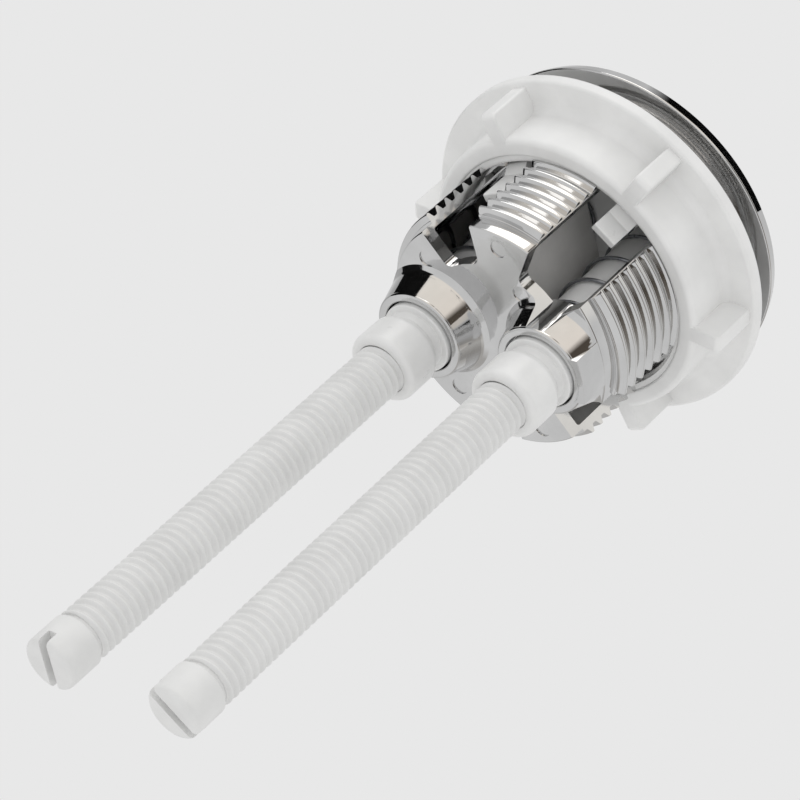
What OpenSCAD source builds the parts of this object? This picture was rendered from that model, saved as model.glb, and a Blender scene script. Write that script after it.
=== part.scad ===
// Dual-flush push button for a cistern lid: a chrome bezel and threaded barrel, a clamping nut,
// two sprung buttons and two push rods that are screwed in or out to reach the flush valve below.
// Millimetres. +Z points up out of the lid, +X from the full-flush rod to the half-flush rod.
// The origin is on the barrel's axis, in the plane where the bezel sits on the lid.

/* [Bezel] */
// Diameter of the bezel where it sits on the lid
bezel_d = 58.4; // [54:0.2:64]
// Height of the bezel's side wall
rim_h = 2; // [1.4:0.1:3]
// Inward lean of the side wall over its height
rim_lean = 0.7; // [0.2:0.05:1]
// Rise of the dome from the side wall to the opening
dome_h = 1.4; // [0.8:0.1:2.4]

/* [Barrel] */
// Diameter over the thread crests, which passes through the lid
thread_d = 44.6; // [43.6:0.2:47]
// Thread pitch
thread_pitch = 2.4; // [2:0.1:3]
// Depth of the thread
thread_depth = 1.1; // [0.7:0.05:1.3]
// Plain collar between the lid seat and the first thread
collar_h = 1.6; // [0.8:0.1:3]
// Distance from the lid seat to the outer face of the end plate
barrel_l = 35.2; // [33:0.2:42]
// Thickness of the barrel's wall under the thread
barrel_wall_t = 1.4; // [1:0.1:2.4]
// Thickness of the wall at the plain band at the barrel's lower end
band_wall_t = 0.8; // [0.6:0.1:1.3]
// Height of that plain band
band_h = 2.8; // [2:0.1:4]
// Thickness of the end plate
plate_t = 2.4; // [1.6:0.1:3.2]
// Thickness of the divider wall between the two chambers
divider_t = 1.3; // [1:0.1:1.6]
// Clearance between the divider and the half-flush spring
divider_clear = 0.45; // [0.3:0.05:0.8]
// Clearance between the divider's top and a button that is pressed home
divider_drop = 0.4; // [0.3:0.1:2]

/* [Windows] */
// Turn of the window pattern from the line through the guide tubes
pattern_turn = -3.4; // [-6:0.2:6]
// Half the angle of the threaded segment on the half-flush side
segment_half_angle = 26; // [22:0.5:28]
// Angle of the windows on the half-flush side
half_window_angle = 33; // [28:0.5:34]
// Angle of the threaded segment on each arm
arm_angle = 32; // [28:0.5:36]
// Angle of the windows on the full-flush side
full_window_angle = 30.5; // [27:0.5:33]
// Distance from the lid seat to the top of the windows
window_top = 13.5; // [10:0.5:15]
// How far the windows reach into the end plate from the barrel's inner wall
window_reach = 6.4; // [4:0.1:7]
// Radius of the windows' inner corners
window_fillet = 1.4; // [0.8:0.1:2]

/* [Guide tubes] */
// Thickness of a guide tube's wall
tube_wall_t = 1.5; // [1:0.1:1.8]
// How far a tube stands out below the end plate
tube_out = 5.5; // [3:0.1:8]
// How far a tube stands up above the end plate, as a spring seat
tube_in = 0.8; // [0.4:0.1:2.4]
// Width of the pad that joins the half-flush tube to the barrel's outside
pad_w = 8.3; // [6:0.1:10]

/* [Ejector marks] */
// Diameter of the marks that the mould's ejector pins leave on the end plate
mark_d = 3; // [2:0.1:3.4]
// Depth of the marks
mark_depth = 0.25; // [0.1:0.05:0.4]
// Distance of the mark on each arm from the plate's edge
arm_mark_in = 2.8; // [2:0.1:5]
// Distance of the inner marks from the line where the windows end
inner_mark_in = 1.8; // [1.7:0.1:3]
// Angle of the inner marks
inner_mark_angle = 53; // [50:1:60]
// Distance of the side marks from the plate's edge
side_mark_in = 3.9; // [2:0.1:5]
// Angle of the side marks
side_mark_angle = 132; // [130:1:140]

/* [Lock nut] */
// Width of the flange round the hub
nut_flange_w = 5.6; // [4:0.1:8]
// Thickness of the flange
nut_flange_t = 2.5; // [1.8:0.1:3.4]
// Height of the whole nut
nut_h = 11.6; // [9:0.1:14]
// Thickness of the hub's wall
nut_wall_t = 3.1; // [2.4:0.1:5]
// Gap between the lid seat and the nut, where the lid is clamped
lid_gap = 5.7; // [4.5:0.1:9]
// Number of finger lugs
lug_count = 6; // [4:1:8]
// Turn of the first lug from +X
lug_turn = 11; // [0:1:59]
// Thickness of a lug
lug_t = 3.6; // [2.4:0.1:5]
// How far a lug stands out from the hub
lug_out = 4.6; // [2.4:0.1:5]
// Bevel at a lug's tip
lug_bevel = 0.6; // [0.3:0.1:2]
// Bevel round the edges of the flange and the hub
nut_bevel = 0.5; // [0.3:0.1:0.8]
// Radius of the fillet between the flange and the hub
nut_fillet = 1.8; // [0.5:0.1:3]
// Radial clearance between the nut and the thread crests
nut_clear = 0.3; // [0.2:0.05:0.5]

/* [Buttons] */
// How far a button goes down
travel = 8; // [5:0.5:9]
// Distance of the split between the buttons from the half-flush spring
split_in = 0.15; // [0.1:0.05:0.6]
// Gap between the two buttons
split_gap = 0.5; // [0.4:0.05:0.8]
// Radial clearance between a button and the barrel
button_clear = 0.3; // [0.2:0.05:0.5]
// Height of the button's dome at the middle
button_crown = 1; // [0.4:0.1:2]
// How far the button's edge lies below the bezel's top
button_drop = 0.2; // [0:0.05:0.6]
// Thickness of a button at its edge
button_t = 2; // [1.6:0.1:2.6]
// Depth of the button's skirt
skirt_h = 5; // [3:0.1:6]
// Thickness of the skirt
skirt_t = 1.2; // [1:0.1:1.6]
// Radial room that the skirt leaves round the spring
spring_room = 0.65; // [0.5:0.05:0.9]
// Length of the peg that fits in the plunger
peg_l = 8; // [5:0.5:12]

/* [Snap hooks] */
// Width of a snap hook
hook_w = 4.6; // [3.6:0.1:6]
// Thickness of a snap hook's tongue
hook_t = 1.5; // [1.2:0.1:2]
// Height of the barb on a snap hook
barb_h = 3.2; // [2:0.1:5]
// How far the barb stands out into the window
barb_out = 1.2; // [0.8:0.05:1.5]
// Length of the flat tab below the barb on the half-flush plunger
half_tab_l = 3.8; // [2:0.1:6]
// Length of the flat tab below the barb on the full-flush plunger
full_tab_l = 6; // [2:0.1:7]
// Clearance between a barb and the top of its window
barb_clear = 0.2; // [0.1:0.05:0.4]

/* [Plungers] */
// Thickness of the plate at a plunger's top, which carries the cap
carrier_t = 1.5; // [1.2:0.1:2]
// Clearance between that plate and the cap's skirt
carrier_clear = 0.3; // [0.2:0.05:0.5]
// Thickness of a plunger's wall
plunger_wall_t = 1.7; // [1.2:0.1:2]
// How far a plunger stands out of its guide tube
plunger_out = 9.8; // [8.5:0.1:14]
// Bevel round the plunger's lower end
plunger_bevel = 0.9; // [0.4:0.1:1.1]
// How far the guided part of a plunger stands out of its tube, above the groove
groove_drop = 0.6; // [0.3:0.1:1.5]
// Width of the groove between the guided part and the knob below it
groove_w = 1.6; // [0.8:0.1:2.2]
// Wall that the groove leaves
groove_wall_t = 0.6; // [0.5:0.1:0.9]
// Height of the knob's sloping shoulder
shoulder_h = 1.4; // [0.6:0.1:2]
// Radial clearance in the guide tube
guide_clear = 0.3; // [0.2:0.05:0.4]
// Radial clearance of the rod and of the peg in the plunger
bore_clear = 0.1; // [0.05:0.01:0.1]

/* [Springs] */
// Diameter of the spring wire
wire_d = 0.6; // [0.5:0.05:0.7]
// Radial clearance between spring and plunger
spring_clear = 0.25; // [0.2:0.05:0.3]
// Clearance between spring and barrel, which sets how far apart the guide tubes stand
spring_wall_gap = 0.55; // [0.3:0.05:1]
// Number of open turns
open_turns = 4.5; // [3:0.5:6]
// Angle at which the wire starts
wire_start = -116; // [-180:1:180]
// Gap at each end of the spring
spring_gap = 0.03; // [0.02:0.01:0.1]

/* [Push rods] */
// Diameter over the rod's thread
rod_d = 9; // [8:0.1:9.4]
// Pitch of the rod's thread
rod_pitch = 1.5; // [1.25:0.05:2]
// Depth of the rod's thread
rod_thread_depth = 0.5; // [0.3:0.05:0.8]
// Distance from the plunger's lower end to the rod's tip
rod_reach = 80; // [50:1:140]
// Length of rod inside the plunger
rod_inside = 25; // [22:1:30]
// How far the rod's head stands out past the thread
head_out = 0.15; // [0:0.05:0.6]
// Length of the rod's head
head_l = 6.5; // [5:0.1:9]
// Bevel round the head's tip
head_bevel = 0.8; // [0.3:0.1:1]
// Length of the neck behind the head
neck_l = 0.9; // [0.3:0.1:2]
// Width of the screwdriver slot
slot_w = 1.6; // [1.2:0.1:2.2]
// Depth of the screwdriver slot
slot_depth = 2.5; // [2:0.1:5]
// Turn of the slot in the full-flush rod
full_slot_turn = 91; // [0:1:180]
// Turn of the slot in the half-flush rod
half_slot_turn = 45; // [0:1:180]

/* [Hidden] */
$fn = 72;
cut = 1;
chrome = [0.78, 0.79, 0.8];
white = [0.93, 0.93, 0.92];
steel = [0.6, 0.61, 0.63];

// Levels and radii that follow from the sizes above
bezel_r = bezel_d / 2;
bezel_top = rim_h + dome_h;
crest_r = thread_d / 2;
root_r = crest_r - thread_depth;
barrel_in_r = root_r - barrel_wall_t;
band_r = barrel_in_r + band_wall_t;
window_in_r = barrel_in_r - window_reach;
plate_bottom = -barrel_l;
plate_top = plate_bottom + plate_t;
thread_bottom = plate_bottom + band_h;
rod_r = rod_d / 2;
head_r = rod_r + head_out;
rod_bore_r = rod_r + bore_clear;
plunger_r = rod_bore_r + plunger_wall_t;
guide_r = plunger_r + guide_clear;
tube_r = guide_r + tube_wall_t;
spring_r = plunger_r + spring_clear + wire_d / 2;
spring_out_r = spring_r + wire_d / 2;
spring_room_r = spring_out_r + spring_room;
tube_x = barrel_in_r - spring_wall_gap - spring_out_r;
tube_bottom = plate_bottom - tube_out;
tube_top = plate_top + tube_in;
plunger_bottom = tube_bottom - plunger_out;
groove_r = rod_bore_r + groove_wall_t;
groove_top = tube_bottom - groove_drop;
groove_bottom = groove_top - groove_w;
rod_top = plunger_bottom + rod_inside;
rod_tip = plunger_bottom - rod_reach;
head_top = rod_tip + head_l;
button_r = barrel_in_r - button_clear;
button_top = bezel_top - button_drop;
button_under = button_top - button_t;
skirt_bottom = button_under - skirt_h;
divider_top = skirt_bottom - travel - divider_drop;
split_x = tube_x - spring_out_r - split_in;
nut_bore_r = crest_r + nut_clear;
hub_r = nut_bore_r + nut_wall_t;
flange_r = hub_r + nut_flange_w;
lug_r = hub_r + lug_out;
arm_start = segment_half_angle + half_window_angle;
arm_end = arm_start + arm_angle;
half_hook_angle = segment_half_angle + half_window_angle / 2;
full_hook_angle = arm_end + full_window_angle / 2;
barb_top = -window_top - barb_clear;
barb_bottom = barb_top - barb_h;
half_tab_bottom = barb_bottom - half_tab_l;
full_tab_bottom = barb_bottom - full_tab_l;
hook_r = button_r - button_clear;
carrier_r = button_r - skirt_t - carrier_clear;
carrier_under = button_under - carrier_t;
tongue_r = carrier_r - carrier_clear;

function polar(r, a) = [r * cos(a), r * sin(a)];

// Crests and roots of a thread, going down from the level top to the level bottom,
// with each flank and crest at its share of the pitch
function thread_points(crest, root, pitch, top, bottom) =
    [for (i = [0 : floor((top - bottom) / pitch) - 1])
        for (p = [[root, 0.15], [crest, 0.4], [crest, 0.6], [root, 0.85]])
            [p[0], top - pitch * (i + p[1])]];

// A curve of the bezel's dome, from the side wall up to the opening
function dome_points(steps) =
    [for (i = [0 : steps])
        [barrel_in_r + (bezel_r - rim_lean - barrel_in_r) * cos(90 * i / steps),
         rim_h + dome_h * sin(90 * i / steps)]];

// Bezel and barrel as one revolved wall
module barrel_wall() {
    rotate_extrude()
        polygon(concat(
            [[bezel_r, 0]],
            dome_points(10),
            [[barrel_in_r, plate_bottom], [band_r, plate_bottom], [band_r, thread_bottom],
             [root_r, thread_bottom]],
            [for (p = thread_points(crest_r, root_r, thread_pitch, -collar_h, thread_bottom))
                [p[0], thread_bottom - collar_h - p[1]]],
            [[root_r, -collar_h], [crest_r, -collar_h], [crest_r, 0]]));
}

// Plan of a sector outside a radius
module sector(from, to, inner_r) {
    reach = 2 * bezel_r;
    difference() {
        polygon([[0, 0], polar(reach, from), polar(reach, to)]);
        circle(inner_r);
    }
}

// One window with rounded inner corners, open from its top down through the end plate
module window(from, angle) {
    corner_r = window_in_r + window_fillet;
    turn = asin(window_fillet / corner_r);
    translate([0, 0, plate_bottom - cut])
        linear_extrude(-window_top - plate_bottom + cut) {
            sector(from, from + angle, corner_r);
            sector(from + turn, from + angle - turn, window_in_r);
            for (a = [from + turn, from + angle - turn])
                translate(polar(corner_r, a)) circle(window_fillet);
        }
}

module windows() {
    rotate(pattern_turn)
        for (side = [0, 1]) mirror([0, side, 0]) {
            window(segment_half_angle, half_window_angle);
            window(arm_end, full_window_angle);
        }
}

// Both guide tubes, and the pad that joins the half-flush tube to the outside of the barrel
module guide_tubes() {
    for (side = [-1, 1])
        translate([side * tube_x, 0, tube_bottom])
            cylinder(r = tube_r, h = tube_top - tube_bottom);
    intersection() {
        translate([0, 0, tube_bottom])
            cylinder(r = band_r, h = plate_top - tube_bottom);
        translate([tube_x, -pad_w / 2, tube_bottom])
            cube([band_r, pad_w, plate_top - tube_bottom]);
    }
}

// A wall between the two chambers, from arm to arm and from the end plate up to the buttons' reach
module divider() {
    face_x = tube_x - spring_out_r - divider_clear;
    rotate(pattern_turn)
        translate([face_x - divider_t, -barrel_in_r, plate_bottom + plate_t / 2])
            cube([divider_t, 2 * barrel_in_r, divider_top - plate_bottom - plate_t / 2]);
}

// Shallow round marks that the mould's ejector pins leave on the end plate
module ejector_marks() {
    places = [[band_r - arm_mark_in, (arm_start + arm_end) / 2],
              [window_in_r - inner_mark_in, inner_mark_angle],
              [band_r - side_mark_in, side_mark_angle]];
    for (side = [-1, 1]) for (p = places)
        rotate(pattern_turn + side * p[1])
            translate([p[0], 0, plate_bottom - cut])
                cylinder(d = mark_d, h = cut + mark_depth);
}

module housing() {
    color(chrome)
        difference() {
            union() {
                difference() {
                    union() {
                        barrel_wall();
                        translate([0, 0, plate_bottom]) cylinder(r = band_r, h = plate_t);
                    }
                    windows();
                }
                divider();
                guide_tubes();
            }
            for (side = [-1, 1])
                translate([side * tube_x, 0, tube_bottom - cut])
                    cylinder(r = guide_r, h = tube_top - tube_bottom + 2 * cut);
            ejector_marks();
        }
}

// One finger lug of the nut, as a rib from the hub to its bevelled tip
module lug(top, bottom) {
    rotate([90, 0, 0])
        translate([0, 0, -lug_t / 2])
            linear_extrude(lug_t)
                polygon([[nut_bore_r + nut_wall_t / 2, top], [lug_r, top],
                         [lug_r, bottom + lug_bevel], [lug_r - lug_bevel, bottom],
                         [nut_bore_r + nut_wall_t / 2, bottom]]);
}

module lock_nut() {
    top = -lid_gap;
    bottom = top - nut_h;
    flange_bottom = top - nut_flange_t;
    color(white) {
        rotate_extrude()
            polygon(concat(
                [[nut_bore_r, top], [flange_r - nut_bevel, top], [flange_r, top - nut_bevel],
                 [flange_r, flange_bottom + nut_bevel], [flange_r - nut_bevel, flange_bottom]],
                [for (a = [90 : 15 : 180])
                    [hub_r + nut_fillet, flange_bottom - nut_fillet] + polar(nut_fillet, a)],
                [[hub_r, bottom + nut_bevel], [hub_r - nut_bevel, bottom], [nut_bore_r, bottom]]));
        for (i = [0 : lug_count - 1])
            rotate(lug_turn + 360 * i / lug_count) lug(flange_bottom, bottom);
    }
}

// The round cap that the split then divides between the two buttons
module cap_blank() {
    crown_r = (button_r * button_r + button_crown * button_crown) / (2 * button_crown);
    half_angle = asin(button_r / crown_r);
    steps = 8;
    rotate_extrude()
        polygon(concat(
            [[0, button_top + button_crown]],
            [for (i = [1 : steps]) [0, button_top + button_crown - crown_r]
                + polar(crown_r, 90 - half_angle * i / steps)],
            [[button_r, skirt_bottom], [button_r - skirt_t, skirt_bottom],
             [button_r - skirt_t, button_under], [0, button_under]]));
}

// The share of a round piece on one side of the split, kept a distance from the split's middle
module one_side(side, distance) {
    far = 2 * bezel_r;
    edge_x = split_x + side * distance;
    rotate(pattern_turn)
        intersection() {
            children();
            translate([side > 0 ? edge_x : edge_x - far, -far / 2, -far / 2]) cube(far);
        }
}

// One button: its share of the cap, and the peg that the plunger is pressed on
module button(side) {
    room_h = button_under - skirt_bottom + cut;
    color(chrome) {
        difference() {
            one_side(side, split_gap / 2) cap_blank();
            translate([side * tube_x, 0, button_under - room_h])
                cylinder(r = spring_room_r, h = room_h);
        }
        translate([side * tube_x, 0, button_under - peg_l]) cylinder(r = rod_r, h = peg_l);
    }
}

module full_button() {
    button(-1);
}

module half_button() {
    button(1);
}

// A tongue that runs down inside the skirt and jogs out below it to hang in a window: its barb
// catches under the window's top edge, and the flat tab below is pressed in to free the button
module hook(angle, tab_bottom) {
    root = button_under - carrier_t / 2;
    jog_top = skirt_bottom - carrier_clear;
    jog_h = hook_r - tongue_r;
    rotate(angle)
        rotate([90, 0, 0])
            translate([0, 0, -hook_w / 2])
                linear_extrude(hook_w)
                    polygon([[tongue_r - hook_t, root], [tongue_r, root],
                             [tongue_r, jog_top], [hook_r, jog_top - jog_h],
                             [hook_r, barb_top], [hook_r + barb_out, barb_top],
                             [hook_r + barb_out, barb_bottom + barb_h / 2],
                             [hook_r, barb_bottom], [hook_r, tab_bottom],
                             [hook_r - hook_t, tab_bottom],
                             [hook_r - hook_t, jog_top - jog_h - hook_t / 2],
                             [tongue_r - hook_t, jog_top - hook_t / 2]]);
}

// A hollow stem under a plate that carries the cap and two snap hooks: the cap's peg goes in at
// its top, the rod is screwed in at the knob at its lower end
module plunger(side, hook_angle, tab_bottom) {
    color(white)
        difference() {
            union() {
                one_side(side, split_gap / 2 + carrier_clear)
                    translate([0, 0, carrier_under]) cylinder(r = carrier_r, h = carrier_t);
                rotate(pattern_turn)
                    for (turn = [-1, 1]) hook(turn * hook_angle, tab_bottom);
                translate([side * tube_x, 0, 0])
                    rotate_extrude()
                        polygon([[0, button_under], [plunger_r, button_under],
                                 [plunger_r, groove_top], [groove_r, groove_top],
                                 [groove_r, groove_bottom], [plunger_r, groove_bottom - shoulder_h],
                                 [plunger_r, plunger_bottom + plunger_bevel],
                                 [plunger_r - plunger_bevel, plunger_bottom], [0, plunger_bottom]]);
            }
            translate([side * tube_x, 0, plunger_bottom - cut])
                cylinder(r = rod_bore_r, h = button_under - plunger_bottom + 2 * cut);
        }
}

module full_plunger() {
    plunger(-1, full_hook_angle, full_tab_bottom);
}

module half_plunger() {
    plunger(1, half_hook_angle, half_tab_bottom);
}

// Height of the wire's middle after a number of turns, with one closed turn at each end
function wire_z(turns, low, high) =
    let (pitch = (high - low - 2 * wire_d) / open_turns)
    turns <= 1 ? low + wire_d * turns
    : turns <= 1 + open_turns ? low + wire_d + pitch * (turns - 1)
    : high - wire_d * (2 + open_turns - turns);

// A coil spring between its seat on the guide tube and the plate at the plunger's top
module spring(side) {
    low = tube_top + spring_gap + wire_d / 2;
    high = carrier_under - spring_gap - wire_d / 2;
    sides = 8;
    steps_per_turn = 24;
    steps = steps_per_turn * (2 + open_turns);
    points = [for (i = [0 : steps])
        let (turns = i / steps_per_turn, a = wire_start + 360 * turns, z = wire_z(turns, low, high))
        for (k = [0 : sides - 1])
            let (q = polar(wire_d / 2, 360 * k / sides), r = spring_r + q[0])
            [r * cos(a), r * sin(a), z + q[1]]];
    first_end = [for (k = [0 : sides - 1]) k];
    last_end = [for (k = [sides - 1 : -1 : 0]) steps * sides + k];
    walls = [for (i = [0 : steps - 1]) for (k = [0 : sides - 1])
        let (n = (k + 1) % sides)
        [i * sides + n, i * sides + k, (i + 1) * sides + k, (i + 1) * sides + n]];
    color(steel)
        translate([side * tube_x, 0, 0])
            polyhedron(points, concat([first_end], walls, [last_end]));
}

module full_spring() {
    spring(-1);
}

module half_spring() {
    spring(1);
}

// A threaded rod with a plain head and a screwdriver slot across its tip
module rod(side, slot_turn) {
    root = rod_r - rod_thread_depth;
    neck_top = head_top + neck_l;
    color(white)
        translate([side * tube_x, 0, 0])
            difference() {
                rotate_extrude()
                    polygon(concat(
                        [[0, rod_top], [root, rod_top]],
                        thread_points(rod_r, root, rod_pitch, rod_top, neck_top),
                        [[root, neck_top], [root, head_top], [head_r, head_top],
                         [head_r, rod_tip + head_bevel],
                         [head_r - head_bevel, rod_tip], [0, rod_tip]]));
                rotate(slot_turn)
                    translate([-head_r - cut, -slot_w / 2, rod_tip - cut])
                        cube([2 * (head_r + cut), slot_w, slot_depth + cut]);
            }
}

module full_rod() {
    rod(-1, full_slot_turn);
}

module half_rod() {
    rod(1, half_slot_turn);
}

housing();
lock_nut();
full_button();
half_button();
full_plunger();
half_plunger();
full_spring();
half_spring();
full_rod();
half_rod();
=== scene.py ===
import math

import bpy
from mathutils import Matrix, Vector


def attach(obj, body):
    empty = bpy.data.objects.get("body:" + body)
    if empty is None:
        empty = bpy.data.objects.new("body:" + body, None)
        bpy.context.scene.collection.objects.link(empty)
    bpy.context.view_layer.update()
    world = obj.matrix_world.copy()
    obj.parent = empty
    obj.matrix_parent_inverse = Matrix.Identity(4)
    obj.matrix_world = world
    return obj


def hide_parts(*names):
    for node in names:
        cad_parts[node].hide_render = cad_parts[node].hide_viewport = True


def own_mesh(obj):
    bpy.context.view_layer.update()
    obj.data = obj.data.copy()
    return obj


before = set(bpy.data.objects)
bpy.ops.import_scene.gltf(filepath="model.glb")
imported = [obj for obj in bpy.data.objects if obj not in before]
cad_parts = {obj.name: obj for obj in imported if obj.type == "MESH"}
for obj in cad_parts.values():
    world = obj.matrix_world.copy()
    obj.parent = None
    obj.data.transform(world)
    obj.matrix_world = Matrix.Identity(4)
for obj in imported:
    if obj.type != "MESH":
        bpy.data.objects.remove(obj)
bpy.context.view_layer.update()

# Sizes are millimetres in the part's own frame, angles are degrees, and MM takes sizes to metres
MM = 0.001
UP = Vector((0, 0, 1))
# Points closer together than SEAM are one point, and a cut takes points within CUT_SNAP as lying on it
SEAM = 0.001
CUT_SNAP = SEAM / 10
# Faces of two mouldings that would lie in one plane are kept SLIP apart
SLIP = 0.02
# Tools that cut right through run between these heights
THROUGH_BOTTOM = -60.0
THROUGH_TOP = 20.0
# Fine rounding of edges that have no rounding of their own
SOFT_EDGE = 0.2
SMOOTH_ANGLE = 32

# Bezel and barrel, whose wall lies a little inside the root of its thread
BEZEL_R = 29.2
RIM_H = 2.0
RIM_LEAN = 0.7
BEZEL_TOP = 3.4
BEZEL_LIP = 0.35
CREST_R = 22.3
ROOT_R = 21.2
WALL_R = ROOT_R - 0.15
SLEEVE_T = 0.7
BARREL_IN_R = 19.8
BAND_R = 20.6
COLLAR_H = 1.6
BARREL_PITCH = 2.4
PLATE_BOTTOM = -35.2
PLATE_TOP = -32.8
THREAD_BOTTOM = -32.4
SHELL_EDGE = 0.14

# Windows, arms and the divider, in a pattern that is turned a little from the line of the tubes
PATTERN_TURN = -3.4
HALF_WINDOW = (26.0, 59.0)
FULL_WINDOW = (91.0, 121.5)
WINDOW_TOP = -13.5
WINDOW_IN_R = 13.4
WINDOW_OUT_R = 34.0
WINDOW_CUT_BOTTOM = PLATE_BOTTOM - 20
WINDOW_FILLET = 1.4
DIVIDER_X = (3.2, 4.5)
DIVIDER_TOP = -12.2
DIVIDER_BOTTOM = PLATE_BOTTOM + 1.2
# The windows in the thread and in the tubes' feet are a little larger than those in the wall
THREAD_WINDOW_RISE = 0.12
THREAD_WINDOW_GROW = 0.3
FOOT_WINDOW_GROW = 0.4

# Ejector pin marks: how far out each lies, and its angle to both sides of the pattern's line
PIN_MARKS = ((BAND_R - 2.8, 75.0), (WINDOW_IN_R - 1.8, 53.0), (BAND_R - 3.9, 132.0))
PIN_R = 1.5
PIN_DEPTH = 0.25

# Guide tubes, plungers and springs stand on two axes
TUBE_X = 12.1
TUBE_R = 8.1
GUIDE_R = 6.6
TUBE_MIDDLE_R = (GUIDE_R + TUBE_R) / 2
TUBE_BOTTOM = -40.7
TUBE_TOP = -32.0
PAD_W = 8.3
PAD_EDGE = 0.4
FLARE = 1.6
FOOT_INSET = 0.15
PLUNGER_R = 6.3
ROD_BORE_R = 4.6
PLUNGER_BOTTOM = -50.5
GROOVE_R = 5.2
GROOVE_TOP = -41.3
GROOVE_BOTTOM = -42.9
SHOULDER_H = 1.4
SPRING_R = 6.85
SPRING_PLAY = 0.03
WIRE_R = 0.3
WIRE_SIDES = 12
WIRE_STEPS = 40
WIRE_SEAM = 0.01
WIRE_START = -116.0
OPEN_TURNS = 4.5

# Caps, and the plates and hooks of the plungers under them
SPLIT_X = 4.8
SPLIT_GAP = 0.5
BUTTON_R = 19.5
BUTTON_TOP = 3.2
BUTTON_CROWN = 1.0
BUTTON_UNDER = 1.2
CAP_EDGE = 0.3
CAP_SHOULDER = 0.08
SKIRT_BOTTOM = -3.8
SKIRT_T = 1.2
SPRING_ROOM_R = 7.8
PEG_R = 4.5
PEG_L = 8.0
STEM_TOP = BUTTON_UNDER - 0.05
CARRIER_TOP = BUTTON_UNDER - 0.04
CARRIER_R = 18.0
CARRIER_UNDER = -0.3
CARRIER_INSET = 0.3
TONGUE_R = 17.7
HOOK_R = 19.2
HOOK_T = 1.5
HOOK_W = 4.6
BARB_TOP = -13.7
BARB_BOTTOM = -16.9
BARB_OUT = 1.2
FULL_TAB_BOTTOM = -22.9
HALF_TAB_BOTTOM = -20.7

# Lock nut
NUT_TOP = -5.7
NUT_BOTTOM = -17.3
NUT_BORE_R = 22.6
NUT_PLAY = 0.15
HUB_R = 25.7
HUB_FOOT_FILLET = 1.8
HUB_END_FILLET = 1.1
FLANGE_R = 31.3
FLANGE_BOTTOM = -8.2
FLANGE_EDGE = 0.6
LUG_COUNT = 6
LUG_R = 30.3
LUG_T = 3.1
LUG_TURN = 11.0
LUG_ROOT = 0.6
LUG_BEVEL = 0.6
LUG_EDGE = 0.8

# Push rods
ROD_R = 4.5
ROD_ROOT_R = 4.0
ROD_PITCH = 1.5
ROD_TOP = -25.5
ROD_TIP = -130.5
HEAD_R = 4.65
HEAD_TOP = -124.0
HEAD_EDGE = 0.15
NECK_R = ROD_ROOT_R - 0.1
NECK_TOP = -123.1
SLOT_W = 1.6
SLOT_DEPTH = 2.5
SLOT_REACH = 9.0
FULL_SLOT_TURN = 91
HALF_SLOT_TURN = 45


def polar(radius, degrees, z=0.0):
    """A point at an angle round Z."""
    angle = math.radians(degrees)
    return Vector((radius * math.cos(angle), radius * math.sin(angle), z))


def fillet(corners, steps=4):
    """An outline from corners of (across, up, radius), with an arc at each corner that has a radius."""
    points = []
    for i, (x, y, radius) in enumerate(corners):
        here = Vector((x, y))
        if not radius:
            points.append(here)
            continue
        before = (Vector(corners[i - 1][:2]) - here).normalized()
        after = (Vector(corners[(i + 1) % len(corners)][:2]) - here).normalized()
        half = before.angle(after) / 2
        middle = here + (before + after).normalized() * radius / math.sin(half)
        start = here + before * radius / math.tan(half) - middle
        end = here + after * radius / math.tan(half) - middle
        sweep = start.angle_signed(end)
        for step in range(steps + 1):
            turn = Matrix.Rotation(-sweep * step / steps, 2)
            points.append(middle + turn @ start)
    return points


def deselect():
    """Leaves edit mode with nothing selected, because an operator acts on all that is selected."""
    if bpy.context.mode != "OBJECT":
        bpy.ops.object.mode_set(mode="OBJECT")
    bpy.ops.object.select_all(action="DESELECT")


def select_only(piece):
    deselect()
    piece.hide_set(False)
    piece.select_set(True)
    bpy.context.view_layer.objects.active = piece


def edit(piece):
    """Opens a piece in edit mode, selected all over."""
    select_only(piece)
    bpy.ops.object.mode_set(mode="EDIT")
    bpy.ops.mesh.select_mode(type="VERT")
    bpy.ops.mesh.select_all(action="SELECT")


def close_mesh():
    """Merges the seams of the mesh that is being edited, and turns its faces outwards."""
    bpy.ops.mesh.select_all(action="SELECT")
    bpy.ops.mesh.remove_doubles(threshold=SEAM * MM)
    bpy.ops.mesh.delete_loose()
    bpy.ops.mesh.select_all(action="SELECT")
    bpy.ops.mesh.normals_make_consistent(inside=False)
    bpy.ops.object.mode_set(mode="OBJECT")


def draw(name, points, closed=False):
    """One vertex, extruded from each point to the next, and left in edit mode."""
    deselect()
    bpy.ops.mesh.primitive_plane_add(size=MM)
    piece = bpy.context.object
    piece.name = name
    bpy.ops.object.mode_set(mode="EDIT")
    bpy.ops.mesh.select_mode(type="VERT")
    bpy.ops.mesh.merge(type="CENTER")
    points = [Vector(p) * MM for p in points]
    bpy.ops.transform.translate(value=points[0])
    for start, end in zip(points, points[1:]):
        bpy.ops.mesh.extrude_region_move(TRANSFORM_OT_translate={"value": end - start})
    bpy.ops.mesh.select_all(action="SELECT")
    if closed:
        bpy.ops.mesh.edge_face_add()
    return piece


def lathe(name, outline, x=0.0, steps=256):
    """A solid turned round a vertical axis at x, from an outline of (radius, height)."""
    points = [(x + p[0], 0, p[1]) for p in outline]
    piece = draw(name, points + points[:1])
    centre = (x * MM, 0, 0)
    bpy.ops.mesh.spin(steps=steps, angle=math.tau, center=centre, axis=UP)
    close_mesh()
    return piece


def prism(name, points, depth):
    """A flat outline in space, extruded along depth."""
    piece = draw(name, points, closed=True)
    bpy.ops.mesh.extrude_region_move(TRANSFORM_OT_translate={"value": Vector(depth) * MM})
    close_mesh()
    return piece


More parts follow.
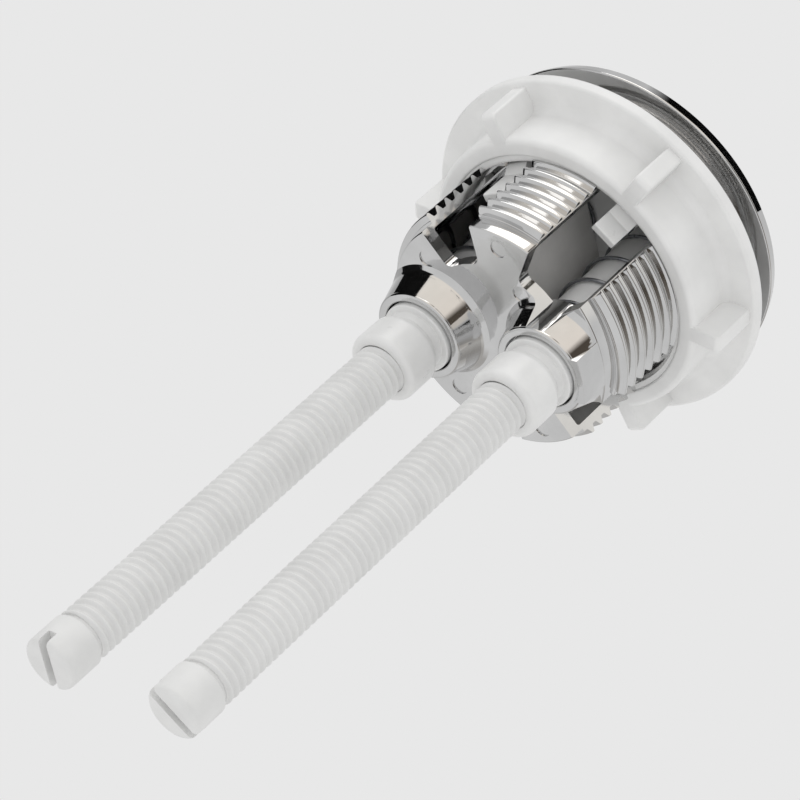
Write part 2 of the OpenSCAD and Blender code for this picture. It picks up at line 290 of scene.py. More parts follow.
def disc(name, radius, bottom, top, x=0.0, y=0.0, vertices=96):
    """A plain cylinder that is then cut, or that cuts."""
    deselect()
    place = Vector((x, y, (bottom + top) / 2)) * MM
    bpy.ops.mesh.primitive_cylinder_add(
        vertices=vertices, radius=radius * MM, depth=(top - bottom) * MM, location=place
    )
    piece = bpy.context.object
    piece.name = name
    bpy.ops.object.transform_apply(location=True, rotation=True, scale=True)
    return piece


def apply_modifier(piece, kind, **settings):
    modifier = piece.modifiers.new(kind, kind)
    for name, value in settings.items():
        setattr(modifier, name, value)
    select_only(piece)
    bpy.ops.object.modifier_apply(modifier=modifier.name)


def combine(piece, tool, operation):
    """Cuts a piece with a tool, or to the tool's shape, and removes the tool."""
    apply_modifier(piece, "BOOLEAN", object=tool, operation=operation, solver="EXACT")
    bpy.data.objects.remove(tool)


def soften(piece, width, segments=2, angle=40.0):
    """Rounds every edge that is sharper than the angle."""
    apply_modifier(
        piece, "BEVEL", width=width * MM, segments=segments, limit_method="ANGLE",
        angle_limit=math.radians(angle), use_clamp_overlap=True, miter_outer="MITER_ARC",
    )


def keep_one_side(piece, place, towards):
    """Cuts a piece with a plane, closes the cut and keeps the side that towards points to."""
    edit(piece)
    bpy.ops.mesh.bisect(
        plane_co=Vector(place) * MM, plane_no=Vector(towards), use_fill=True, clear_inner=True,
        threshold=CUT_SNAP * MM,
    )
    close_mesh()


def join(pieces):
    """Joins pieces into the first of them."""
    select_only(pieces[0])
    for piece in pieces[1:]:
        piece.select_set(True)
    bpy.ops.object.join()
    return pieces[0]


def thread(name, x, root_r, crest_r, pitch, bottom, top, ridge, steps):
    """A right-handed threaded bar: one pitch of the ridge, screwed up past both ends and cut off.

    The ridge is points of (share of the pitch, share of the thread's depth). It starts a tenth of a
    step low, so that neither cut runs along a row of points.
    """
    turns = math.ceil((top - bottom) / pitch) + 2
    start = bottom - pitch * (1 + 0.1 / steps)
    points = [(root_r + (crest_r - root_r) * out, 0, start + pitch * up) for up, out in ridge]
    piece = draw(name, points)
    bpy.ops.object.mode_set(mode="OBJECT")
    apply_modifier(
        piece, "SCREW", axis="Z", angle=math.tau, screw_offset=pitch * MM, iterations=turns,
        steps=steps, render_steps=steps,
    )
    edit(piece)
    close_mesh()
    keep_one_side(piece, (0, 0, bottom), UP)
    keep_one_side(piece, (0, 0, top), -UP)
    edit(piece)
    bpy.ops.transform.translate(value=(x * MM, 0, 0))
    close_mesh()
    return piece


# Window cutters
def window_tool(start, end, top, grow):
    """A wedge turned from start to end, with its two inner upright edges rounded."""
    start = start - grow + PATTERN_TURN
    end = end + grow + PATTERN_TURN
    corners = [(WINDOW_IN_R, WINDOW_CUT_BOTTOM), (WINDOW_OUT_R, WINDOW_CUT_BOTTOM),
               (WINDOW_OUT_R, top), (WINDOW_IN_R, top)]
    points = [polar(r, start, z) for r, z in corners]
    tool = draw("window", points, closed=True)
    bpy.ops.mesh.spin(steps=4, angle=math.radians(start - end), center=(0, 0, 0), axis=UP)
    bpy.ops.mesh.select_all(action="SELECT")
    bpy.ops.mesh.fill_holes(sides=0)
    bpy.ops.mesh.remove_doubles(threshold=SEAM * MM)
    bpy.ops.mesh.normals_make_consistent(inside=False)
    bpy.ops.mesh.select_all(action="DESELECT")
    bpy.ops.object.mode_set(mode="OBJECT")
    near = 0.05
    for edge in tool.data.edges:
        ends = [tool.data.vertices[i].co / MM for i in edge.vertices]
        upright = abs(ends[0].z - ends[1].z) > near
        gaps = [(ends[0] - polar(WINDOW_IN_R, a, ends[0].z)).length for a in (start, end)]
        edge.select = upright and min(gaps) < near
    bpy.ops.object.mode_set(mode="EDIT")
    bpy.ops.mesh.select_mode(type="EDGE")
    bpy.ops.mesh.bevel(offset=WINDOW_FILLET * MM, segments=6, affect="EDGES")
    close_mesh()
    return tool


def cut_windows(piece, top, grow):
    """Cuts the four windows up to a height, each side of them grown by some degrees."""
    for start, end in (HALF_WINDOW, FULL_WINDOW):
        combine(piece, window_tool(start, end, top, grow), "DIFFERENCE")
        combine(piece, window_tool(-end, -start, top, grow), "DIFFERENCE")


# Housing
def barrel_shell():
    """Bezel, barrel wall and end plate in one turned shell, with windows, tube holes and pin marks."""
    dome_start = BARREL_IN_R + BEZEL_LIP
    reach = BEZEL_R - RIM_LEAN - BARREL_IN_R - BEZEL_LIP
    dome_steps = 12
    dome = []
    for step in range(dome_steps + 1):
        angle = math.radians(90 * step / dome_steps)
        height = RIM_H + (BEZEL_TOP - RIM_H) * math.sin(angle)
        dome.append((dome_start + reach * math.cos(angle), height, 0))
    outline = fillet([
        (0, PLATE_TOP, 0), (0, PLATE_BOTTOM, 0), (BAND_R, PLATE_BOTTOM, 0.3),
        (BAND_R, THREAD_BOTTOM, 0), (WALL_R, THREAD_BOTTOM, 0.1), (WALL_R, -COLLAR_H, 0.05),
        (CREST_R, -COLLAR_H, 0.2), (CREST_R, 0, 0.3), (BEZEL_R, 0, 0.3), *dome,
        (BARREL_IN_R, BEZEL_TOP - BEZEL_LIP, 0), (BARREL_IN_R, PLATE_TOP, 0.5),
    ])
    shell = lathe("shell", outline)
    cut_windows(shell, WINDOW_TOP, 0)
    hole_start = PLATE_BOTTOM - 4
    for side in (-1, 1):
        hole = disc("hole", TUBE_MIDDLE_R, hole_start, TUBE_TOP, side * TUBE_X)
        combine(shell, hole, "DIFFERENCE")
    pin_start = PLATE_BOTTOM - 1
    for radius, degrees in PIN_MARKS:
        for side in (-1, 1):
            place = polar(radius, PATTERN_TURN + side * degrees)
            pin = disc("pin", PIN_R, pin_start, PLATE_BOTTOM + PIN_DEPTH, place.x, place.y, 48)
            combine(shell, pin, "DIFFERENCE")
    soften(shell, SHELL_EDGE)
    return shell


def barrel_screw(grow):
    """The coarse thread as a bar: the barrel's own, or grown a little as the tap for its nut."""
    ridge = [(0, 0), (0.12, 0), (0.16, 0.03), (0.2, 0.12), (0.37, 0.86), (0.41, 0.97), (0.45, 1),
             (0.55, 1), (0.59, 0.97), (0.63, 0.86), (0.8, 0.12), (0.84, 0.03), (0.88, 0), (1, 0)]
    bottom = THREAD_BOTTOM + 0.1
    top = -COLLAR_H + 0.3
    return thread("screw", 0, ROOT_R + grow, CREST_R + grow, BARREL_PITCH, bottom, top, ridge, 120)


def barrel_thread():
    """The thread as a sleeve that the windows split into segments."""
    sleeve = barrel_screw(0)
    core = disc("core", ROOT_R - SLEEVE_T, THROUGH_BOTTOM, THROUGH_TOP, vertices=128)
    combine(sleeve, core, "DIFFERENCE")
    cut_windows(sleeve, WINDOW_TOP + THREAD_WINDOW_RISE, THREAD_WINDOW_GROW)
    return sleeve


def guide_tube(side):
    """A tube with rounded rims that stands through the end plate."""
    outline = fillet([
        (GUIDE_R, TUBE_BOTTOM, 0.3), (TUBE_R, TUBE_BOTTOM, 0.45), (TUBE_R, TUBE_TOP, 0.2),
        (GUIDE_R, TUBE_TOP, 0.2),
    ])
    return lathe("tube", outline, side * TUBE_X, 128)


def tube_foot(side):
    """The flare of a tube towards the plate, cut where the plate ends."""
    inner = TUBE_R - 0.3
    outer = TUBE_R + FLARE + 0.6
    start = TUBE_BOTTOM + 0.5
    root = PLATE_BOTTOM + 0.3
    outline = fillet([
        (inner, start, 0), (TUBE_R, start, 0), (TUBE_R + FLARE * 0.8, PLATE_BOTTOM - 0.7, 1.2),
        (outer, PLATE_BOTTOM, 0), (outer, root, 0), (inner, root, 0),
    ], 6)
    foot = lathe("foot", outline, side * TUBE_X, 128)
    rim_bottom = PLATE_BOTTOM - 10
    rim_top = PLATE_BOTTOM + 0.2
    rim = disc("rim", BAND_R - FOOT_INSET, rim_bottom, rim_top, vertices=256)
    combine(foot, rim, "INTERSECT")
    cut_windows(foot, WINDOW_TOP, FOOT_WINDOW_GROW)
    return foot


def tube_pad():
    """The web that joins the half-flush tube to the outside of the barrel."""
    start_x = TUBE_X + 2
    top = PLATE_TOP - 0.5
    pad = disc("pad", BAND_R - SLIP, TUBE_BOTTOM, top, vertices=256)
    keep_one_side(pad, (start_x, 0, 0), (1, 0, 0))
    keep_one_side(pad, (0, -PAD_W / 2, 0), (0, 1, 0))
    keep_one_side(pad, (0, PAD_W / 2, 0), (0, -1, 0))
    combine(pad, disc("bore", TUBE_MIDDLE_R, THROUGH_BOTTOM, 0, TUBE_X), "DIFFERENCE")
    soften(pad, PAD_EDGE, 3)
    return pad


def divider_wall():
    """The wall between the two chambers, from arm to arm."""
    low, high = DIVIDER_X
    reach = BARREL_IN_R
    turn = Matrix.Rotation(math.radians(PATTERN_TURN), 3, "Z")
    corners = [(low, -reach), (high, -reach), (high, reach), (low, reach)]
    points = [turn @ Vector((x, y, DIVIDER_BOTTOM)) for x, y in corners]
    wall = prism("wall", points, (0, 0, DIVIDER_TOP - DIVIDER_BOTTOM))
    soften(wall, SOFT_EDGE)
    return wall


# Lock nut
def nut_lug(index):
    """A finger lug whose outer lower corner is bevelled and whose edges are rounded."""
    angle = LUG_TURN + 360 / LUG_COUNT * index
    inner = (NUT_BORE_R + HUB_R) / 2
    root = FLANGE_BOTTOM + LUG_ROOT
    end = NUT_BOTTOM + SLIP
    corners = [(inner, root), (LUG_R, root), (LUG_R, NUT_BOTTOM + LUG_BEVEL),
               (LUG_R - LUG_BEVEL, end), (inner, end)]
    across = polar(1, angle + 90)
    points = [polar(r, angle, z) - across * LUG_T / 2 for r, z in corners]
    lug = prism("lug", points, across * LUG_T)
    soften(lug, LUG_EDGE, 4, 30)
    return lug


def nut_ring():
    """Flange and hub, turned in one."""
    outline = fillet([
        (NUT_BORE_R, NUT_TOP, 0.4), (FLANGE_R, NUT_TOP, FLANGE_EDGE),
        (FLANGE_R, FLANGE_BOTTOM, FLANGE_EDGE), (HUB_R, FLANGE_BOTTOM, HUB_FOOT_FILLET),
        (HUB_R, NUT_BOTTOM, HUB_END_FILLET), (NUT_BORE_R, NUT_BOTTOM, 0.5),
    ])
    return lathe("ring", outline)


def nut_thread():
    """The thread inside the nut. It meets the barrel's thread at rest and after every whole turn."""
    outer = NUT_BORE_R + 0.5
    bottom = NUT_BOTTOM + 0.35
    top = NUT_TOP - 0.9
    sleeve = disc("sleeve", outer, bottom, top, vertices=256)
    combine(sleeve, barrel_screw(NUT_PLAY), "DIFFERENCE")
    return sleeve


# Plungers
def split_point(side, inset):
    """A point on the split's edge and the direction from it into one side."""
    into = polar(side, PATTERN_TURN)
    place = polar(SPLIT_X + side * (SPLIT_GAP / 2 + inset), PATTERN_TURN)
    return place, into


def stem(side):
    """The guided part, a groove below the tube's mouth and a knob that grips the rod."""
    grip_r = ROD_R + SLIP
    grip_top = PLUNGER_BOTTOM + 1.5
    bore_bottom = PLUNGER_BOTTOM + 1.7
    outline = fillet([
        (ROD_BORE_R, STEM_TOP, 0.2), (PLUNGER_R, STEM_TOP, 0.2), (PLUNGER_R, GROOVE_TOP, 0.25),
        (GROOVE_R, GROOVE_TOP, 0.2), (GROOVE_R, GROOVE_BOTTOM, 0.2),
        (PLUNGER_R, GROOVE_BOTTOM - SHOULDER_H, 1.6), (PLUNGER_R, PLUNGER_BOTTOM, 1.0),
        (grip_r, PLUNGER_BOTTOM, 0.1), (grip_r, grip_top, 0.1), (ROD_BORE_R, bore_bottom, 0),
    ], 5)
    return lathe("stem", outline, side * TUBE_X, 128)


def carrier(side):
    """The plate under a cap, cut off along the split."""
    plate = disc("carrier", CARRIER_R, CARRIER_UNDER, CARRIER_TOP, vertices=160)
    keep_one_side(plate, *split_point(side, CARRIER_INSET))
    reach = 5
    hole = disc("hole", (ROD_BORE_R + PLUNGER_R) / 2, -reach, reach, side * TUBE_X)
    combine(plate, hole, "DIFFERENCE")
    soften(plate, SOFT_EDGE)
    return plate


def hook(angle, tab_bottom):
    """A springy tongue that jogs out below the skirt, with a barb and a flat tab under it."""
    jog = HOOK_R - TONGUE_R
    root = (BUTTON_UNDER + CARRIER_UNDER) / 2
    jog_top = SKIRT_BOTTOM - CARRIER_INSET
    corners = fillet([
        (TONGUE_R - HOOK_T, root, 0), (TONGUE_R, root, 0), (TONGUE_R, jog_top, 0.5),
        (HOOK_R, jog_top - jog, 0.5), (HOOK_R, BARB_TOP, 0.1), (HOOK_R + BARB_OUT, BARB_TOP, 0.15),
        (HOOK_R + BARB_OUT, (BARB_TOP + BARB_BOTTOM) / 2, 0.3), (HOOK_R, BARB_BOTTOM, 0.3),
        (HOOK_R, tab_bottom, 0.3), (HOOK_R - HOOK_T, tab_bottom, 0.3),
        (HOOK_R - HOOK_T, jog_top - jog - HOOK_T / 2, 0.5),
        (TONGUE_R - HOOK_T, jog_top - HOOK_T / 2, 0.5),
    ], 3)
    turn = PATTERN_TURN + angle
    across = polar(1, turn + 90)
    points = [polar(p.x, turn, p.y) - across * HOOK_W / 2 for p in corners]
    tongue = prism("hook", points, across * HOOK_W)
    soften(tongue, SOFT_EDGE)
    return tongue


# Buttons
def cap(side):
    """One side of the split dome, with a skirt that leaves room for the spring, and a peg."""
    crown_r = (BUTTON_R ** 2 + BUTTON_CROWN ** 2) / (2 * BUTTON_CROWN)
    crown_z = BUTTON_TOP + BUTTON_CROWN - crown_r
    crown_steps = 16
    outline = [(0, BUTTON_UNDER)]
    for step in range(crown_steps + 1):
        r = (BUTTON_R - CAP_EDGE) * step / crown_steps
        outline.append((r, crown_z + math.sqrt(crown_r ** 2 - r ** 2)))
    outline += [
        (BUTTON_R - CAP_SHOULDER, BUTTON_TOP - CAP_SHOULDER), (BUTTON_R, BUTTON_TOP - CAP_EDGE),
        (BUTTON_R, SKIRT_BOTTOM), (BUTTON_R - SKIRT_T, SKIRT_BOTTOM),
        (BUTTON_R - SKIRT_T, BUTTON_UNDER),
    ]
    dome = lathe("dome", outline)
    keep_one_side(dome, *split_point(side, 0))
    room_bottom = SKIRT_BOTTOM - 2
    room = disc("room", SPRING_ROOM_R, room_bottom, BUTTON_UNDER, side * TUBE_X)
    combine(dome, room, "DIFFERENCE")
    root = BUTTON_UNDER + 0.5
    tip = BUTTON_UNDER - PEG_L
    peg_outline = fillet([(0, root, 0), (PEG_R, root, 0), (PEG_R, tip, 0.5), (0, tip, 0)])
    peg = lathe("peg", peg_outline, side * TUBE_X, 96)
    return join([dome, peg])


# Springs
def coil(side, start, low, turns, rise):
    """Round wire wound up from a height through a number of turns."""
    deselect()
    bpy.ops.mesh.primitive_circle_add(
        vertices=WIRE_SIDES, radius=WIRE_R * MM, location=(SPRING_R * MM, 0, low * MM),
        rotation=(math.pi / 2, 0, 0)
    )
    wire = bpy.context.object
    bpy.ops.object.transform_apply(location=True, rotation=True, scale=True)
    steps = round(turns * WIRE_STEPS)
    apply_modifier(
        wire, "SCREW", axis="Z", angle=math.tau * turns, screw_offset=rise * MM, iterations=1,
        steps=steps, render_steps=steps,
    )
    wire.rotation_euler = (0, 0, math.radians(start))
    wire.location = (side * TUBE_X * MM, 0, 0)
    select_only(wire)
    bpy.ops.object.transform_apply(location=True, rotation=True, scale=True)
    return wire


def spring(side):
    """A closed turn, the open turns and a closed turn, as one wire."""
    low = TUBE_TOP + SPRING_PLAY + WIRE_R
    high = CARRIER_UNDER - SPRING_PLAY - WIRE_R
    lead = 2 * WIRE_R
    wire = join([
        coil(side, WIRE_START, low, 1, lead),
        coil(side, WIRE_START, low + lead, OPEN_TURNS, high - low - 2 * lead),
        coil(side, WIRE_START + 360 * OPEN_TURNS, high - lead, 1, lead),
    ])
    edit(wire)
    bpy.ops.mesh.remove_doubles(threshold=WIRE_SEAM * MM)
    bpy.ops.mesh.select_all(action="SELECT")
    bpy.ops.mesh.fill_holes(sides=0)
    close_mesh()
    return wire


# Push rods
def rod(side, slot_turn):
    """A screwed bar with a plain slotted head behind a thin groove."""
    x = side * TUBE_X
    ridge = [(0, 0), (0.1, 0.04), (0.22, 0.3), (0.34, 0.78), (0.44, 0.98), (0.56, 0.98),
             (0.66, 0.78), (0.78, 0.3), (0.9, 0.04), (1, 0)]
    bar = thread("bar", x, ROD_ROOT_R, ROD_R, ROD_PITCH, NECK_TOP, ROD_TOP, ridge, 40)
    neck_root = HEAD_TOP + 3
    head_outline = fillet([
        (0, neck_root, 0), (NECK_R, neck_root, 0), (NECK_R, HEAD_TOP, 0), (HEAD_R, HEAD_TOP, 0.25),
        (HEAD_R, ROD_TIP, 0.8), (0, ROD_TIP, 0),
    ], 5)
    head = lathe("head", head_outline, x, 96)
    along = polar(SLOT_REACH, slot_turn)
    across = polar(SLOT_W / 2, slot_turn + 90)
    below = 1
    middle = Vector((x, 0, ROD_TIP - below))
    corners = [middle + along * a + across * b for a, b in ((-1, -1), (1, -1), (1, 1), (-1, 1))]
    combine(head, prism("slot", corners, (0, 0, SLOT_DEPTH + below)), "DIFFERENCE")
    soften(head, HEAD_EDGE)
    return join([bar, head])


# Materials
def linear(hex_colour):
    """An sRGB hex colour as the linear colour that a shader takes."""
    channels = [int(hex_colour[i:i + 2], 16) / 255 for i in (1, 3, 5)]
    return [c / 12.92 if c <= 0.04045 else ((c + 0.055) / 1.055) ** 2.4 for c in channels] + [1]


def add_node(tree, kind, inputs, **settings):
    """Adds a node with its settings, and links or sets each of its inputs."""
    node = tree.nodes.new(kind)
    for name, value in settings.items():
        setattr(node, name, value)
    for name, value in inputs.items():
        socket = node.inputs[name] if isinstance(name, int) else next(
            s for s in node.inputs if s.name == name and s.enabled)
        if isinstance(value, bpy.types.NodeSocket):
            tree.links.new(value, socket)
        else:
            socket.default_value = value
    return node


def surface(name, colours, patch_mm, roughness, grit_mm, grit_depth_mm, metallic, ior):
    """A finish with two near tones in patches, a roughness that follows them, and a fine bump.

    The grit of the bump is drawn coarser than a mould's own, so that it shows.
    """
    material = bpy.data.materials.new(name)
    material.use_nodes = True
    tree = material.node_tree
    shader = tree.nodes["Principled BSDF"]
    place = add_node(tree, "ShaderNodeTexCoord", {}).outputs["Object"]
    patch = add_node(tree, "ShaderNodeTexNoise", {
        "Vector": place, "Scale": 1 / (patch_mm * MM), "Detail": 3.0, "Roughness": 0.55})
    tone = add_node(tree, "ShaderNodeValToRGB", {"Fac": patch.outputs["Fac"]})
    tone.color_ramp.elements[0].position = 0.35
    tone.color_ramp.elements[1].position = 0.65
    tone.color_ramp.elements[0].color = linear(colours[0])
    tone.color_ramp.elements[1].color = linear(colours[1])
    gloss = add_node(tree, "ShaderNodeMapRange", {
        "Value": patch.outputs["Fac"], "From Min": 0.3, "From Max": 0.7,
        "To Min": roughness[0], "To Max": roughness[1]})
    grit = add_node(tree, "ShaderNodeTexNoise", {
        "Vector": place, "Scale": 1 / (grit_mm * MM), "Detail": 2.0, "Roughness": 0.5})
    bump = add_node(tree, "ShaderNodeBump", {
        "Height": grit.outputs["Fac"], "Strength": 1.0, "Distance": grit_depth_mm * MM})
    tree.links.new(tone.outputs["Color"], shader.inputs["Base Color"])
    tree.links.new(gloss.outputs["Result"], shader.inputs["Roughness"])
    tree.links.new(bump.outputs["Normal"], shader.inputs["Normal"])
    shader.inputs["Metallic"].default_value = metallic
    shader.inputs["IOR"].default_value = ior
    return material


# Bright chrome over polished ABS: a mirror whose reflections fray a little where the moulding sank
chrome_plated_abs = surface(
    "chrome_plated_abs", ("#D0D0D0", "#DADADA"), patch_mm=9, roughness=(0.05, 0.09),
    grit_mm=0.6, grit_depth_mm=0.003, metallic=1.0, ior=1.5)
# Thin chrome deep inside the moulding, where plating hardly reaches: a dull grey sheen
thin_plated_abs = surface(
    "thin_plated_abs", ("#CBCAC8", "#D6D5D3"), patch_mm=6, roughness=(0.42, 0.55),
    grit_mm=0.6, grit_depth_mm=0.003, metallic=0.15, ior=1.5)
# Moulded polypropylene: milky white with faint flow patches and a soft wide sheen
moulded_polypropylene = surface(
    "moulded_polypropylene", ("#E3E3E2", "#EAEAE9"), patch_mm=7, roughness=(0.34, 0.46),
    grit_mm=0.6, grit_depth_mm=0.004, metallic=0.0, ior=1.49)
# Moulded acetal: a shade cleaner and slicker than the nut, with tighter highlights
moulded_acetal = surface(
    "moulded_acetal", ("#E0E0DF", "#E7E7E6"), patch_mm=5, roughness=(0.26, 0.36),
    grit_mm=0.5, grit_depth_mm=0.003, metallic=0.0, ior=1.48)
# Moulded nylon: satin white, its thread a little blurred as it leaves the mould
moulded_nylon = surface(
    "moulded_nylon", ("#DCDCDB", "#E3E3E2"), patch_mm=6, roughness=(0.42, 0.55),
    grit_mm=0.7, grit_depth_mm=0.006, metallic=0.0, ior=1.53)
# Drawn stainless spring wire: grey metal, dull from the die
drawn_spring_wire = surface(
    "drawn_spring_wire", ("#7E8085", "#94969A"), patch_mm=1.2, roughness=(0.24, 0.38),
    grit_mm=0.15, grit_depth_mm=0.003, metallic=1.0, ior=1.5)


def paint(piece, material):
    piece.data.materials.clear()
    piece.data.materials.append(material)
    return piece


def finish_piece(piece, name, node, body):
    """Smooths and names a piece, puts it in the place of its node and lets it ride its body."""
    select_only(piece)
    bpy.ops.object.shade_smooth_by_angle(angle=math.radians(SMOOTH_ANGLE))
    apply_modifier(piece, "WEIGHTED_NORMAL", mode="FACE_AREA", weight=100, keep_sharp=True)
    piece.name = name
    piece.data.name = name
    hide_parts(node)
    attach(piece, body)


# The pieces, each in the place of its node
bright = [barrel_shell(), barrel_thread(), guide_tube(-1), guide_tube(1), tube_foot(-1),
          tube_foot(1), tube_pad()]
housing = join([paint(piece, chrome_plated_abs) for piece in bright]
               + [paint(divider_wall(), thin_plated_abs)])
finish_piece(housing, "housing_moulding", "housing", "housing")

lock_nut = join([nut_ring(), nut_thread()] + [nut_lug(i) for i in range(LUG_COUNT)])
paint(lock_nut, moulded_polypropylene)
finish_piece(lock_nut, "nut_moulding", "lock_nut", "lock_nut")

for side, word, window, tab_bottom, slot_turn in (
    (-1, "full", FULL_WINDOW, FULL_TAB_BOTTOM, FULL_SLOT_TURN),
    (1, "half", HALF_WINDOW, HALF_TAB_BOTTOM, HALF_SLOT_TURN),
):
    button = word + "_button"
    middle = sum(window) / 2
    plunger = join([stem(side), carrier(side), hook(middle, tab_bottom), hook(-middle, tab_bottom)])
    paint(plunger, moulded_acetal)
    finish_piece(plunger, word + "_stem", word + "_plunger", button)
    button_cap = paint(cap(side), chrome_plated_abs)
    finish_piece(button_cap, word + "_cap", button, button)
    push_rod = paint(rod(side, slot_turn), moulded_nylon)
    finish_piece(push_rod, word + "_push_rod", word + "_rod", word + "_rod")
    wire = paint(spring(side), drawn_spring_wire)
    finish_piece(wire, word + "_coil", word + "_spring", "housing")
    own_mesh(wire)


# Camera, fitted to the photo: it looks up at the object from below, with the rods towards it
CAMERA_PLACE = Vector((302.98, -299.48, -365.93))
CAMERA_RIGHT = Vector((0.7794, 0.1770, 0.6010))
CAMERA_UP = Vector((-0.2365, -0.8053, 0.5437))
CAMERA_BACK = Vector((0.5802, -0.5659, -0.5858))
camera_data = bpy.data.cameras.new("Camera")
camera_data.lens = 151.8
camera_data.sensor_width = 36
camera_data.clip_start = 0.01
camera = bpy.data.objects.new("Camera", camera_data)
bpy.context.scene.collection.objects.link(camera)
view = Matrix((CAMERA_RIGHT, CAMERA_UP, CAMERA_BACK)).transposed().to_4x4()
view.translation = CAMERA_PLACE * MM
camera.matrix_world = view
bpy.context.scene.camera = camera


# Floor
def matt_paper():
    """Pale matt paper, which is clear when it is seen from underneath."""
    material = bpy.data.materials.new("matt_paper")
    material.use_nodes = True
    tree = material.node_tree
    sheet = tree.nodes["Principled BSDF"]
    sheet.inputs["Base Color"].default_value = linear("#E6E6E6")
    sheet.inputs["Roughness"].default_value = 0.9
    from_below = add_node(tree, "ShaderNodeNewGeometry", {}).outputs["Backfacing"]
    clear = add_node(tree, "ShaderNodeBsdfTransparent", {})
    both = add_node(tree, "ShaderNodeMixShader", {
        0: from_below, 1: sheet.outputs[0], 2: clear.outputs[0]})
    tree.links.new(both.outputs[0], tree.nodes["Material Output"].inputs["Surface"])
    return material


# Pale floor below the rods' lowest reach. The camera is under it, so it is clear from underneath,
# and it takes the object's shadow without keeping light from the object's underside
FLOOR_Z = -160.0
FLOOR_W = 3000.0
deselect()
bpy.ops.mesh.primitive_plane_add(size=FLOOR_W * MM, location=(0, 0, FLOOR_Z * MM))
floor = bpy.context.object
floor.name = "floor"
bpy.ops.object.transform_apply(location=True, rotation=True, scale=True)
floor.visible_diffuse = False
floor.visible_glossy = False
floor.visible_shadow = False
paint(floor, matt_paper())

# Two black cards that only reflections show. One lies just over the near edge of the bezel and gives
# the rim its dark band: it thins out inwards and to one end. The other stands beside the tubes, below
# the lid, and gives them their dark flanks
CARD_R = (22.5, 34.0)
CARD_SOLID_R = 28.0
CARD_BEARINGS = (-76, -13)
CARD_SOLID_BEARING = -66
CARD_STEP = 3
CARD_Z = 6.0
SIDE_R = 48.0
SIDE_BEARINGS = (-168, -122)
SIDE_STEP = 2
SIDE_Z = (-60.0, 2.0)


def black_felt(name, colour):
    """Black felt: a nap that swallows light and has no shine."""
    material = bpy.data.materials.new(name)
    material.use_nodes = True
    nap = material.node_tree.nodes["Principled BSDF"]
    nap.inputs["Base Color"].default_value = linear(colour)
    nap.inputs["Specular IOR Level"].default_value = 0.0
    return material


def bearing_and_height(tree, place):
    """The angle of a place or a direction round Z in radians, and its height."""
    axes = add_node(tree, "ShaderNodeSeparateXYZ", {"Vector": place})
    angle = add_node(tree, "ShaderNodeMath", {
        0: axes.outputs["Y"], 1: axes.outputs["X"]}, operation="ARCTAN2")
    return angle.outputs[0], axes.outputs["Z"]


def faded_felt():
    """Black felt that thins out to clear towards the card's inner edge and its first bearing."""
    material = black_felt("faded_felt", "#0B0B0B")
    tree = material.node_tree
    nap = tree.nodes["Principled BSDF"]
    place = add_node(tree, "ShaderNodeTexCoord", {}).outputs["Object"]
    flat = add_node(tree, "ShaderNodeVectorMath", {0: place, 1: (1, 1, 0)}, operation="MULTIPLY")
    radius = add_node(tree, "ShaderNodeVectorMath", {0: flat.outputs["Vector"]}, operation="LENGTH")
    inwards = add_node(tree, "ShaderNodeMapRange", {
        "Value": radius.outputs["Value"], "From Min": CARD_R[0] * MM, "From Max": CARD_SOLID_R * MM})
    bearing, _ = bearing_and_height(tree, place)
    endwards = add_node(tree, "ShaderNodeMapRange", {
        "Value": bearing, "From Min": math.radians(CARD_BEARINGS[0]),
        "From Max": math.radians(CARD_SOLID_BEARING)})
    cover = add_node(tree, "ShaderNodeMath", {
        0: inwards.outputs[0], 1: endwards.outputs[0]}, operation="MULTIPLY")
    clear = add_node(tree, "ShaderNodeBsdfTransparent", {})
    both = add_node(tree, "ShaderNodeMixShader", {
        0: cover.outputs[0], 1: clear.outputs[0], 2: nap.outputs[0]})
    tree.links.new(both.outputs[0], tree.nodes["Material Output"].inputs["Surface"])
    return material


def hang_card(card, material):
    """Lets only reflections show a card."""
    card.visible_camera = False
    card.visible_diffuse = False
    card.visible_shadow = False
    paint(card, material)


arc = range(CARD_BEARINGS[0], CARD_BEARINGS[1] + 1, CARD_STEP)
outer_edge = [polar(CARD_R[1], degrees, CARD_Z) for degrees in arc]
inner_edge = [polar(CARD_R[0], degrees, CARD_Z) for degrees in reversed(arc)]
rim_card = draw("black_card", outer_edge + inner_edge, closed=True)
close_mesh()
hang_card(rim_card, faded_felt())

side_arc = range(SIDE_BEARINGS[0], SIDE_BEARINGS[1] + 1, SIDE_STEP)
side_card = draw("side_card", [polar(SIDE_R, degrees, SIDE_Z[0]) for degrees in side_arc])
side_rise = Vector((0, 0, SIDE_Z[1] - SIDE_Z[0])) * MM
bpy.ops.mesh.extrude_region_move(TRANSFORM_OT_translate={"value": side_rise})
close_mesh()
hang_card(side_card, black_felt("black_felt", "#101010"))

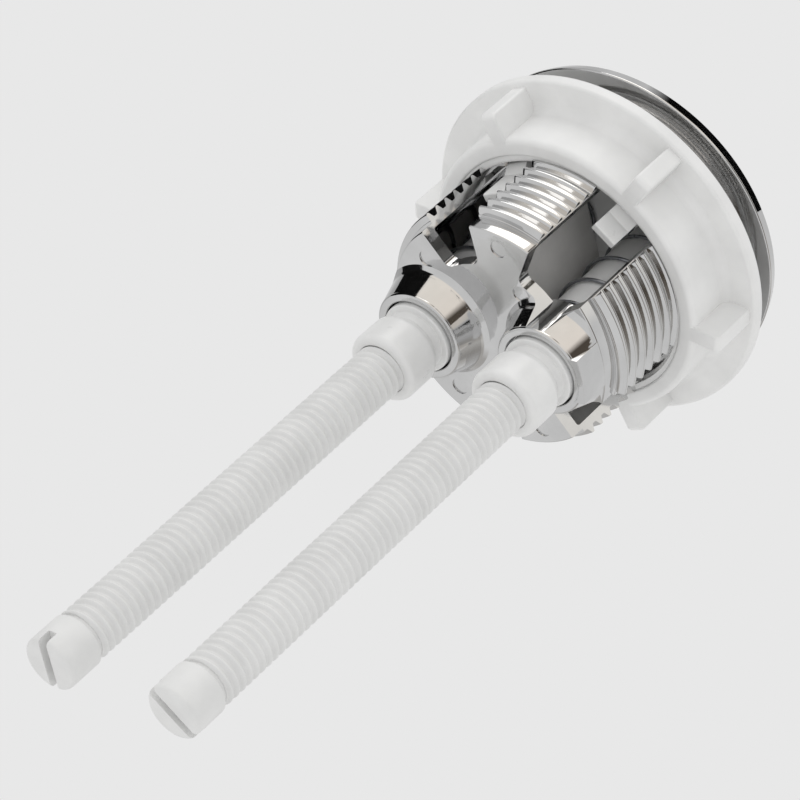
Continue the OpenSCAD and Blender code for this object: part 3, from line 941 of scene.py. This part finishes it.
# Soft studio: even white light on the object, and a plain pale backdrop for the camera. Reflections
# show a room instead, stacked from the ground up: a skyline with a warm lit side and a dark side, a
# wall with a dark upright between two lit strips, and a pale ceiling. Each tint has its bearing, and
# each edge is two heights on a unit ball between which one layer gives way to the next
LIGHT_TINT = "#F4F4F4"
BACKDROP_TINT = "#E8E8E8"
GROUND_TINT = "#E2E2E2"
CEILING_TINT = "#D2D2D2"
SKYLINE_STOPS = [
    (-180, "#B4B4B4"), (-168, "#B4B4B4"), (-122, "#C4C4C4"), (-110, "#FFF9F0"), (-40, "#FFF6EC"),
    (-28, "#544C44"), (10, "#5E564D"), (30, "#9A948D"), (46, "#D4D2CE"), (64, "#B4B1AD"),
    (100, "#BCBAB7"), (125, "#D0D0D0"), (150, "#D8D8D8"), (180, "#B4B4B4"),
]
WALL_STOPS = [
    (-180, "#B4B4B4"), (-168, "#B4B4B4"), (-120, "#C4C4C4"), (-110, "#FFFAF2"), (-82, "#FFF8EE"),
    (-74, "#4A4640"), (-65, "#4A4640"), (-57, "#FAF6EF"), (-8, "#F8F6F2"), (8, "#D8D8D8"),
    (40, "#E2E2E2"), (150, "#D8D8D8"), (180, "#B4B4B4"),
]
SKYLINE_EDGE = (-0.5, -0.3)
WALL_EDGE = (0.34, 0.46)
CEILING_EDGE = (0.8, 0.86)


def studio():
    world = bpy.data.worlds.new("studio")
    world.use_nodes = True
    tree = world.node_tree
    tree.nodes.clear()
    direction = add_node(tree, "ShaderNodeTexCoord", {}).outputs["Generated"]
    bearing, height = bearing_and_height(tree, direction)
    turn = add_node(tree, "ShaderNodeMapRange", {
        "Value": bearing, "From Min": -math.pi, "From Max": math.pi})
    bands = []
    for stops in (SKYLINE_STOPS, WALL_STOPS):
        band = add_node(tree, "ShaderNodeValToRGB", {"Fac": turn.outputs[0]})
        for degrees, tint in stops[1:-1]:
            band.color_ramp.elements.new((degrees + 180) / 360).color = linear(tint)
        band.color_ramp.elements[0].color = linear(stops[0][1])
        band.color_ramp.elements[-1].color = linear(stops[-1][1])
        bands.append(band.outputs["Color"])
    skyline, wall = bands
    room = linear(GROUND_TINT)
    for edge, layer in (
        (SKYLINE_EDGE, skyline), (WALL_EDGE, wall), (CEILING_EDGE, linear(CEILING_TINT))
    ):
        share = add_node(tree, "ShaderNodeMapRange", {
            "Value": height, "From Min": edge[0], "From Max": edge[1]})
        room = add_node(tree, "ShaderNodeMix", {
            "Factor": share.outputs[0], "A": room, "B": layer}, data_type="RGBA").outputs[2]
    ray = add_node(tree, "ShaderNodeLightPath", {})
    lit = add_node(tree, "ShaderNodeMix", {
        "Factor": ray.outputs["Is Glossy Ray"], "A": linear(LIGHT_TINT), "B": room},
        data_type="RGBA")
    shown = add_node(tree, "ShaderNodeMix", {
        "Factor": ray.outputs["Is Camera Ray"], "A": lit.outputs[2], "B": linear(BACKDROP_TINT)},
        data_type="RGBA")
    light = add_node(tree, "ShaderNodeBackground", {"Color": shown.outputs[2], "Strength": 1.0})
    add_node(tree, "ShaderNodeOutputWorld", {"Surface": light.outputs[0]})
    return world


bpy.context.scene.world = studio()

# Key lamp, in front of the object and above it
KEY_PLACE = Vector((-200.0, -700.0, 450.0))
KEY_AIM = Vector((0.0, 0.0, -30.0))
KEY_W = 500.0
key_data = bpy.data.lights.new("key", "AREA")
key_data.energy = 1.1
key_data.size = KEY_W * MM
key = bpy.data.objects.new("key", key_data)
bpy.context.scene.collection.objects.link(key)
key.location = KEY_PLACE * MM
key.rotation_euler = (KEY_AIM - KEY_PLACE).to_track_quat("-Z", "Y").to_euler()

bpy.context.scene.view_settings.view_transform = "Standard"
